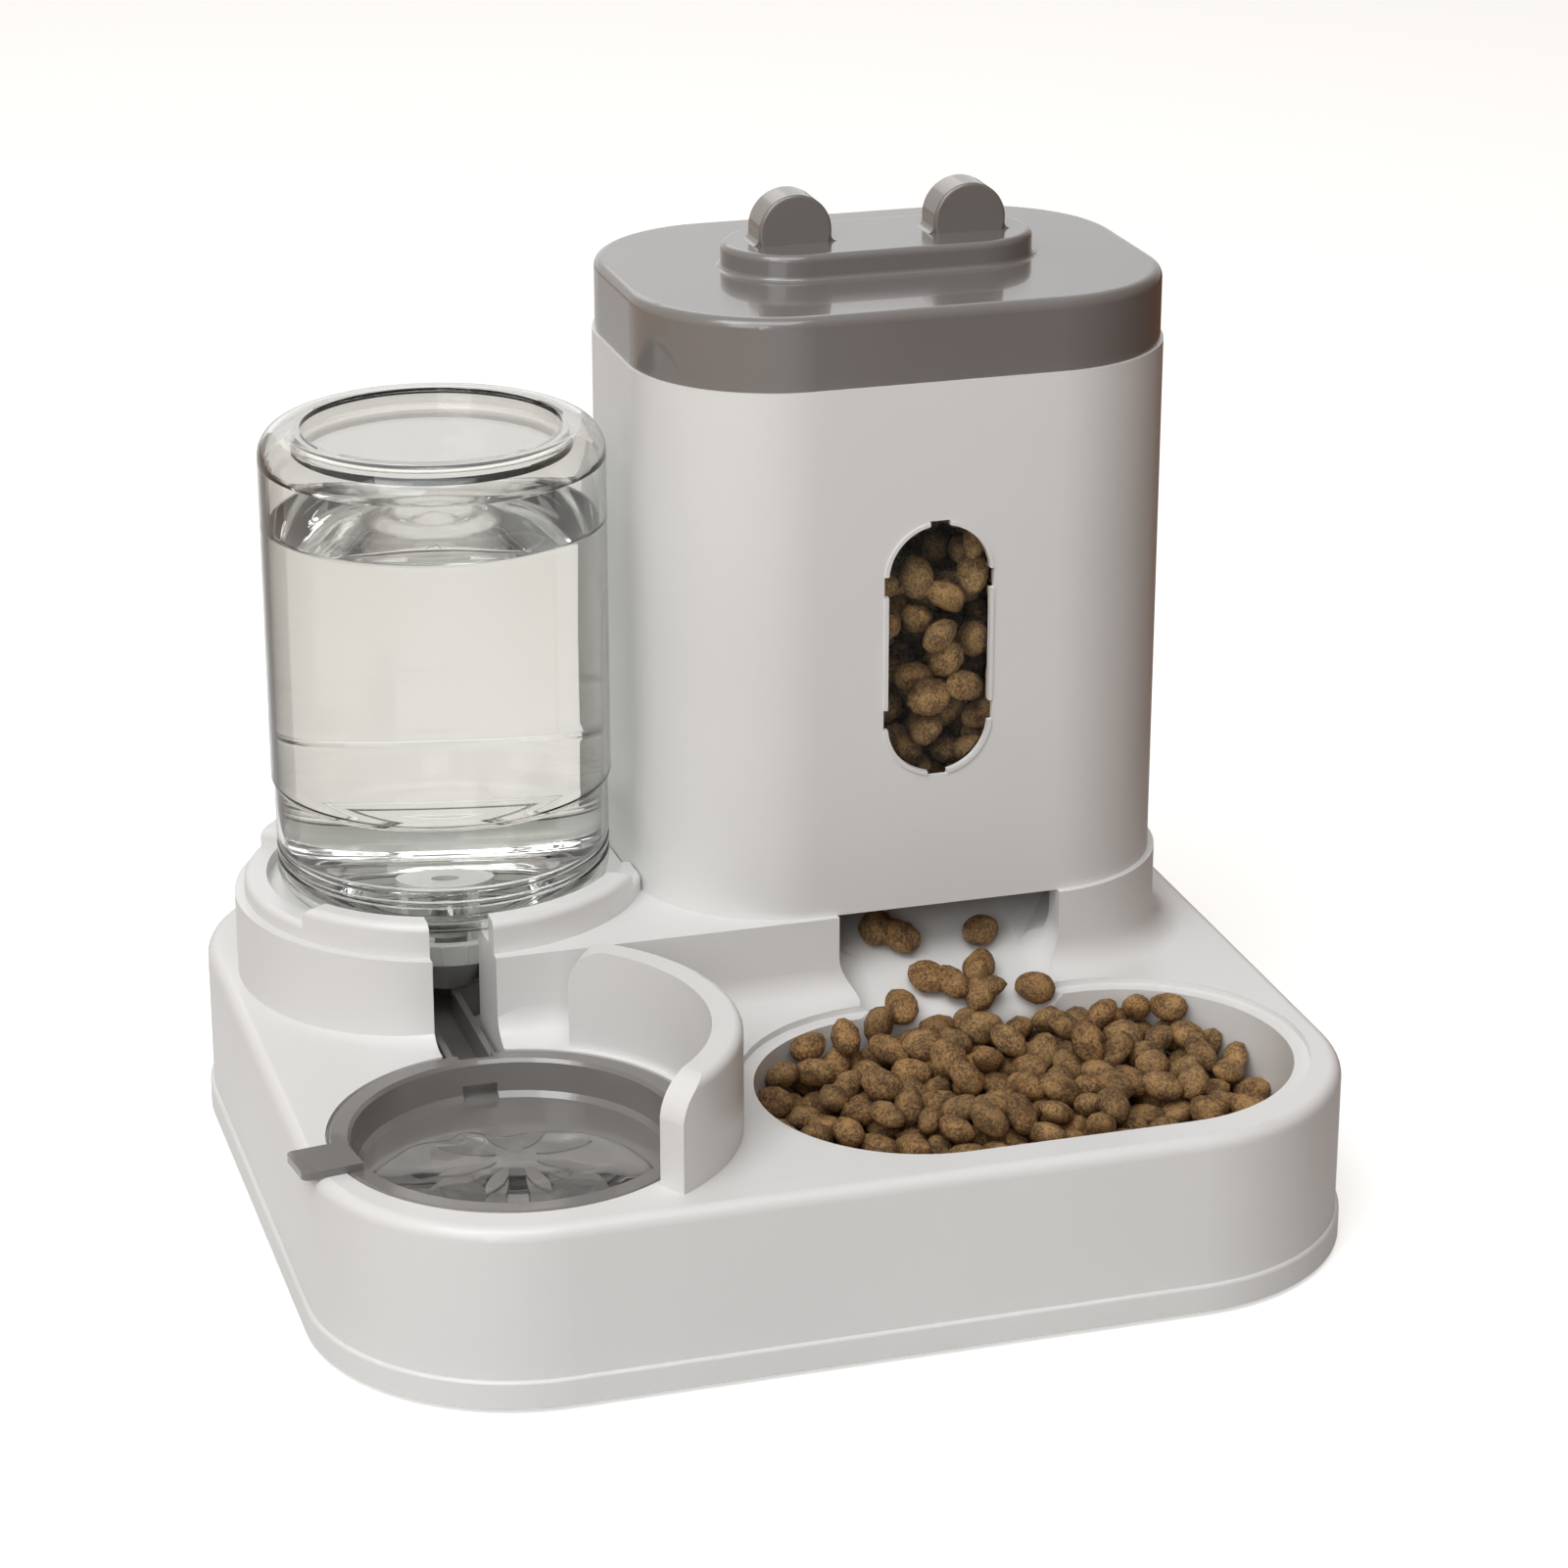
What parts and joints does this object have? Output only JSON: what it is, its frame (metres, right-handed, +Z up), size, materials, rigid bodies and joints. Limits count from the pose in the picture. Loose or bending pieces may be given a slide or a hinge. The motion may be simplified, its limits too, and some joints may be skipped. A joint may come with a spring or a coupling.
{
  "type": "pet feeder and waterer",
  "caption": "Gravity pet feeder: food hopper with window and eared lid over a chute and bowl, beside an inverted water bottle that feeds a lift-out bowl with splash guard.",
  "frame": {"origin": "middle of the outline, on the floor under the feet", "axes": "+Z up, -Y towards the bowls in front, +X to the food hopper's side"},
  "size_m": [0.303, 0.266, 0.2794],
  "materials": {
    "white_plastic": "satin",
    "grey_plastic": "satin",
    "clear_plastic": "clear gloss",
    "foot_rubber": "matte",
    "gasket": "matte",
    "seal": "matte",
    "steel": "satin"
  },
  "bodies": {
    "dispenser": {"base_tray": "white_plastic", "bottom_cover": "white_plastic", "cover_screws": "steel", "rubber_feet": "foot_rubber", "hopper": "white_plastic", "window_lens": "clear_plastic", "lid": "grey_plastic", "water_bowl": "grey_plastic", "water_bottle": "clear_plastic", "bottle_cap": "white_plastic", "cap_gasket": "gasket", "valve_spring": "steel"},
    "valve": {"valve_plunger": "white_plastic", "valve_seal": "seal"}
  },
  "joints": [
    {"name": "valve_slide", "type": "slide", "parent": "dispenser", "child": "valve", "axis": [0, 0, 1], "range_m": [0, 0.003], "stiffness_N_per_m": 100, "springref_m": -0.008, "deforming": ["valve_spring"]}
  ]
}
